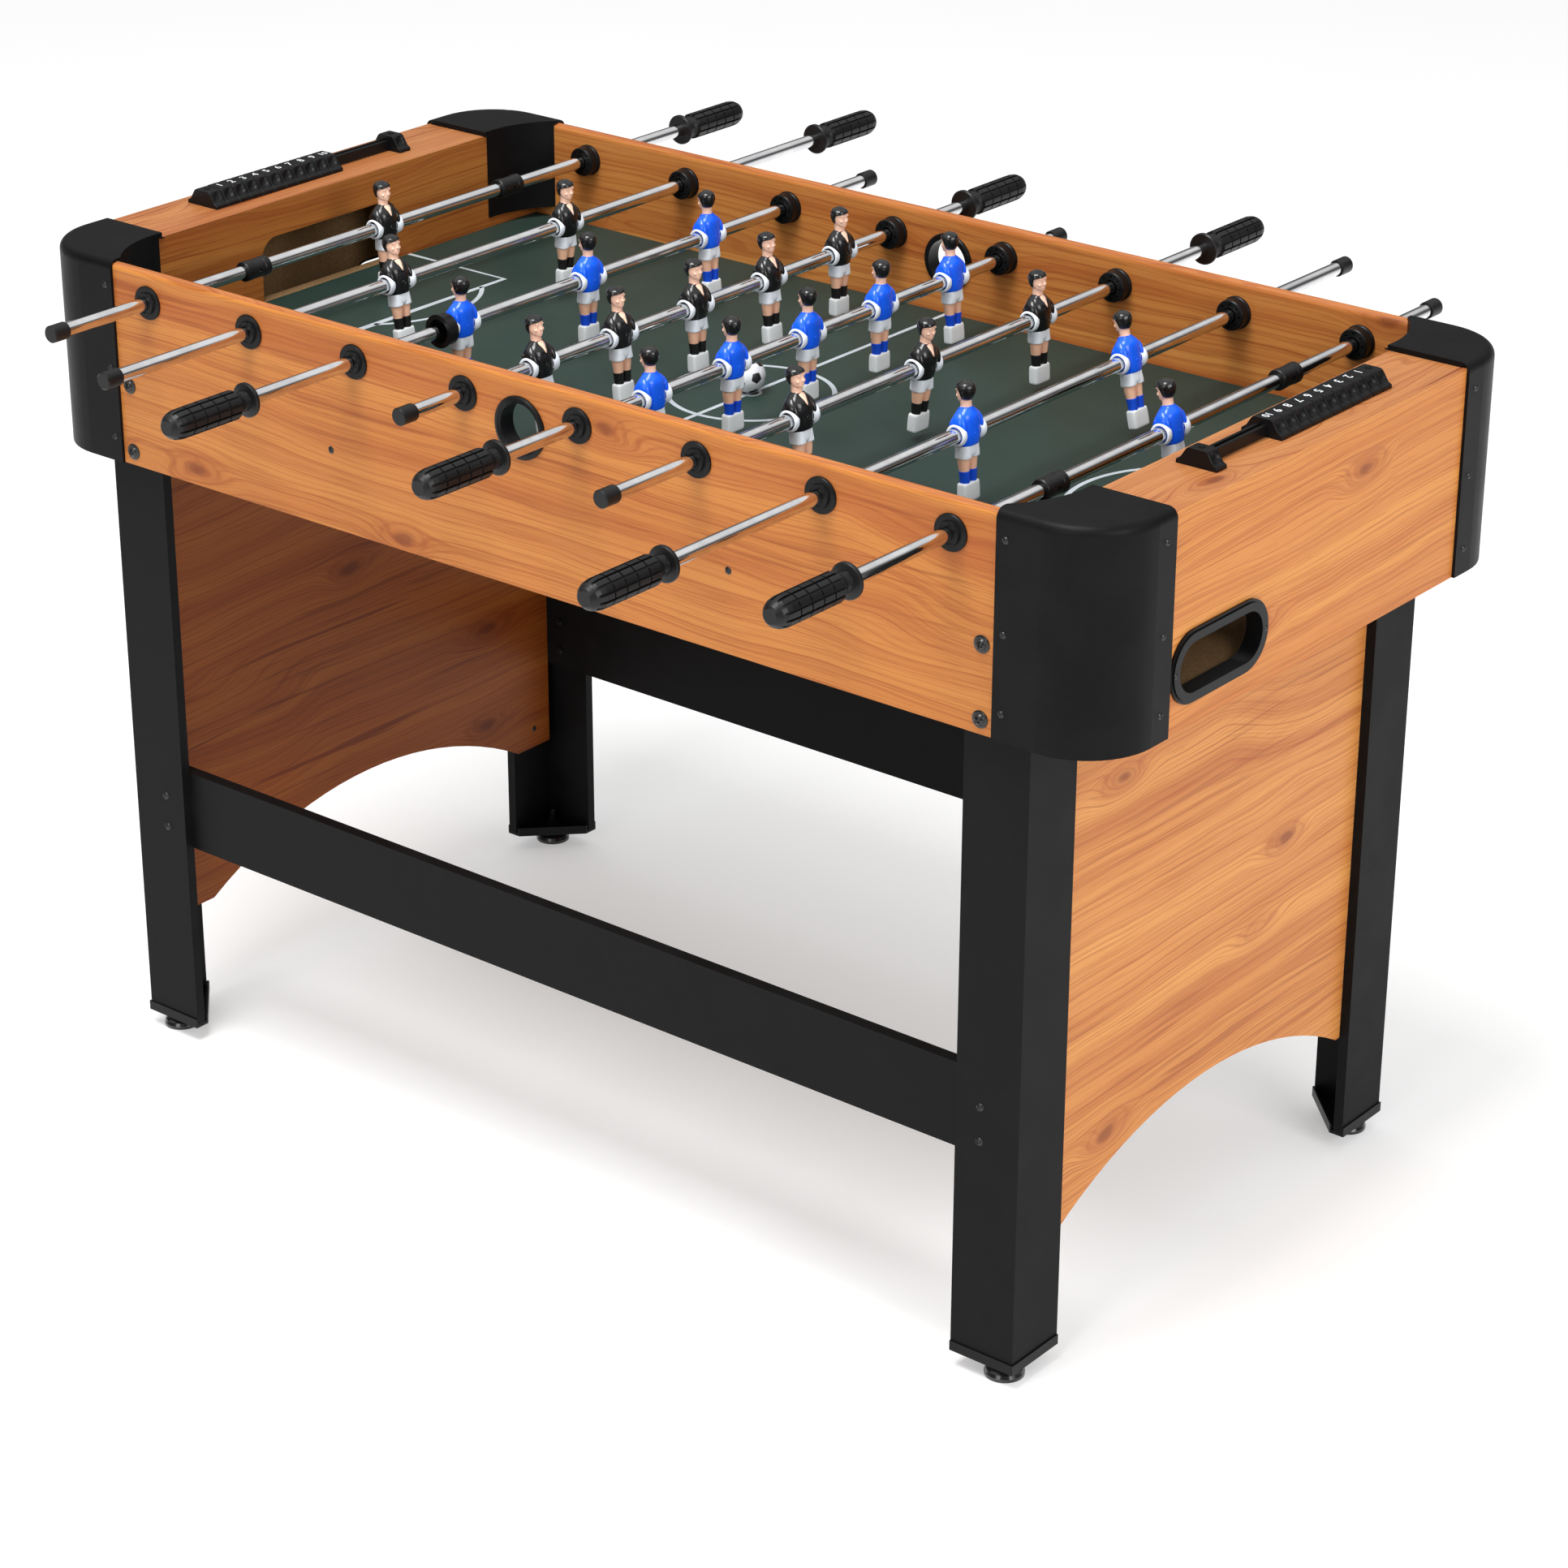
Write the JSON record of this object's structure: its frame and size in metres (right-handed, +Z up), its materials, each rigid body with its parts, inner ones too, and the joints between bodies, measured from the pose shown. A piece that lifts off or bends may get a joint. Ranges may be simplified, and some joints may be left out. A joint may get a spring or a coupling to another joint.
{
  "type": "foosball table",
  "caption": "Free-standing table football game: wood-grain box with black corner guards, L-shaped legs and levelling feet, chromed player rods that slide and spin, score beads and ball.",
  "frame": {"origin": "on the floor under the centre of the table", "axes": "+X along the table's length towards the right end, +Y from the front side panel to the back one along the rods, +Z up"},
  "size_m": [1.23, 1.2, 0.8189],
  "materials": {
    "cherry_laminate": "satin cherry-like woodgrain laminate on board",
    "green_playfield": "dark green printed board with white pitch lines",
    "textured_black_plastic": "fine-grained satin black plastic",
    "black_laminate": "satin black laminate on board",
    "black_plastic": "semi-matte black moulding",
    "glossy_black_plastic": "glossy black moulding",
    "blackened_steel": "black-finished screws and bolts",
    "chromed_steel": "polished chrome plating on steel tube",
    "player_black": "glossy painted moulding: black shirt and socks, white shorts and hands, skin tones",
    "player_blue": "glossy painted moulding: blue shirt and socks, white shorts and hands, skin tones",
    "grip_rubber": "semi-matte black rubber with a block tread",
    "ball_white": "white ball with black pentagons"
  },
  "bodies": {
    "table": {"side_panel_front": "cherry_laminate", "side_panel_back": "cherry_laminate", "end_panel_left": "cherry_laminate", "end_panel_right": "cherry_laminate", "goal_walls": "cherry_laminate", "end_rails": "cherry_laminate", "playfield": "green_playfield", "corner_guards": "textured_black_plastic", "leg_front_left": "black_laminate", "leg_front_right": "black_laminate", "leg_back_left": "black_laminate", "leg_back_right": "black_laminate", "leg_panels": "cherry_laminate", "stretchers": "black_laminate", "foot_plates": "black_plastic", "rod_bearings": "black_plastic", "rod_bumpers": "black_plastic", "ball_entry_cups": "black_plastic", "ball_returns": "black_plastic", "score_rails": "black_plastic", "fasteners": "blackened_steel"},
    "leveler_front_left_body": {"leveler_front_left": "glossy_black_plastic"},
    "leveler_front_right_body": {"leveler_front_right": "glossy_black_plastic"},
    "leveler_back_left_body": {"leveler_back_left": "glossy_black_plastic"},
    "leveler_back_right_body": {"leveler_back_right": "glossy_black_plastic"},
    "score_beads_left_body": {"score_beads_left": "black_plastic"},
    "score_beads_right_body": {"score_beads_right": "black_plastic"},
    "ball_body": {"ball": "ball_white"},
    "spinning_liners_1": {"liners_1": "black_plastic"},
    "player_rod_1": {"rod_1": "chromed_steel", "players_1": "player_black", "grip_and_cap_1": "grip_rubber"},
    "spinning_liners_2": {"liners_2": "black_plastic"},
    "player_rod_2": {"rod_2": "chromed_steel", "players_2": "player_black", "grip_and_cap_2": "grip_rubber"},
    "spinning_liners_3": {"liners_3": "black_plastic"},
    "player_rod_3": {"rod_3": "chromed_steel", "players_3": "player_blue", "grip_and_cap_3": "grip_rubber"},
    "spinning_liners_4": {"liners_4": "black_plastic"},
    "player_rod_4": {"rod_4": "chromed_steel", "players_4": "player_black", "grip_and_cap_4": "grip_rubber"},
    "spinning_liners_5": {"liners_5": "black_plastic"},
    "player_rod_5": {"rod_5": "chromed_steel", "players_5": "player_blue", "grip_and_cap_5": "grip_rubber"},
    "spinning_liners_6": {"liners_6": "black_plastic"},
    "player_rod_6": {"rod_6": "chromed_steel", "players_6": "player_black", "grip_and_cap_6": "grip_rubber"},
    "spinning_liners_7": {"liners_7": "black_plastic"},
    "player_rod_7": {"rod_7": "chromed_steel", "players_7": "player_blue", "grip_and_cap_7": "grip_rubber"},
    "spinning_liners_8": {"liners_8": "black_plastic"},
    "player_rod_8": {"rod_8": "chromed_steel", "players_8": "player_blue", "grip_and_cap_8": "grip_rubber"}
  },
  "joints": [
    {"name": "rod_1_spin", "type": "hinge", "parent": "table", "child": "spinning_liners_1", "pos_m": [-0.4585, 0, 0.774], "axis": [0, 1, 0], "continuous": true},
    {"name": "rod_1_slide", "type": "slide", "parent": "spinning_liners_1", "child": "player_rod_1", "axis": [0, 1, 0], "range_m": [-0.0945, 0.0945]},
    {"name": "rod_2_spin", "type": "hinge", "parent": "table", "child": "spinning_liners_2", "pos_m": [-0.3275, 0, 0.774], "axis": [0, 1, 0], "continuous": true},
    {"name": "rod_2_slide", "type": "slide", "parent": "spinning_liners_2", "child": "player_rod_2", "axis": [0, 1, 0], "range_m": [-0.1485, 0.1525]},
    {"name": "rod_3_spin", "type": "hinge", "parent": "table", "child": "spinning_liners_3", "pos_m": [-0.1965, 0, 0.774], "axis": [0, 1, 0], "continuous": true},
    {"name": "rod_3_slide", "type": "slide", "parent": "spinning_liners_3", "child": "player_rod_3", "axis": [0, 1, 0], "range_m": [-0.0952, 0.0935]},
    {"name": "rod_4_spin", "type": "hinge", "parent": "table", "child": "spinning_liners_4", "pos_m": [-0.0655, 0, 0.774], "axis": [0, 1, 0], "continuous": true},
    {"name": "rod_4_slide", "type": "slide", "parent": "spinning_liners_4", "child": "player_rod_4", "axis": [0, 1, 0], "range_m": [-0.0555, 0.0555]},
    {"name": "rod_5_spin", "type": "hinge", "parent": "table", "child": "spinning_liners_5", "pos_m": [0.0655, 0, 0.774], "axis": [0, 1, 0], "continuous": true},
    {"name": "rod_5_slide", "type": "slide", "parent": "spinning_liners_5", "child": "player_rod_5", "axis": [0, 1, 0], "range_m": [-0.054, 0.0535]},
    {"name": "rod_6_spin", "type": "hinge", "parent": "table", "child": "spinning_liners_6", "pos_m": [0.1965, 0, 0.774], "axis": [0, 1, 0], "continuous": true},
    {"name": "rod_6_slide", "type": "slide", "parent": "spinning_liners_6", "child": "player_rod_6", "axis": [0, 1, 0], "range_m": [-0.0935, 0.0965]},
    {"name": "rod_7_spin", "type": "hinge", "parent": "table", "child": "spinning_liners_7", "pos_m": [0.3275, 0, 0.774], "axis": [0, 1, 0], "continuous": true},
    {"name": "rod_7_slide", "type": "slide", "parent": "spinning_liners_7", "child": "player_rod_7", "axis": [0, 1, 0], "range_m": [-0.1525, 0.143]},
    {"name": "rod_8_spin", "type": "hinge", "parent": "table", "child": "spinning_liners_8", "pos_m": [0.4585, 0, 0.774], "axis": [0, 1, 0], "continuous": true},
    {"name": "rod_8_slide", "type": "slide", "parent": "spinning_liners_8", "child": "player_rod_8", "axis": [0, 1, 0], "range_m": [-0.0945, 0.0945]},
    {"name": "leveler_front_left_thread", "type": "slide", "parent": "table", "child": "leveler_front_left_body", "axis": [0, 0, -1], "range_m": [0, 0.012]},
    {"name": "leveler_front_right_thread", "type": "slide", "parent": "table", "child": "leveler_front_right_body", "axis": [0, 0, -1], "range_m": [0, 0.012]},
    {"name": "leveler_back_left_thread", "type": "slide", "parent": "table", "child": "leveler_back_left_body", "axis": [0, 0, -1], "range_m": [0, 0.012]},
    {"name": "leveler_back_right_thread", "type": "slide", "parent": "table", "child": "leveler_back_right_body", "axis": [0, 0, -1], "range_m": [0, 0.012]},
    {"name": "score_beads_left_slide", "type": "slide", "parent": "table", "child": "score_beads_left_body", "axis": [0, 1, 0], "range_m": [0, 0.0805]},
    {"name": "score_beads_right_slide", "type": "slide", "parent": "table", "child": "score_beads_right_body", "axis": [0, -1, 0], "range_m": [0, 0.0805]},
    {"name": "ball_lift", "type": "slide", "parent": "table", "child": "ball_body", "axis": [0, 0, 1], "range_m": [0, 0.25]}
  ]
}
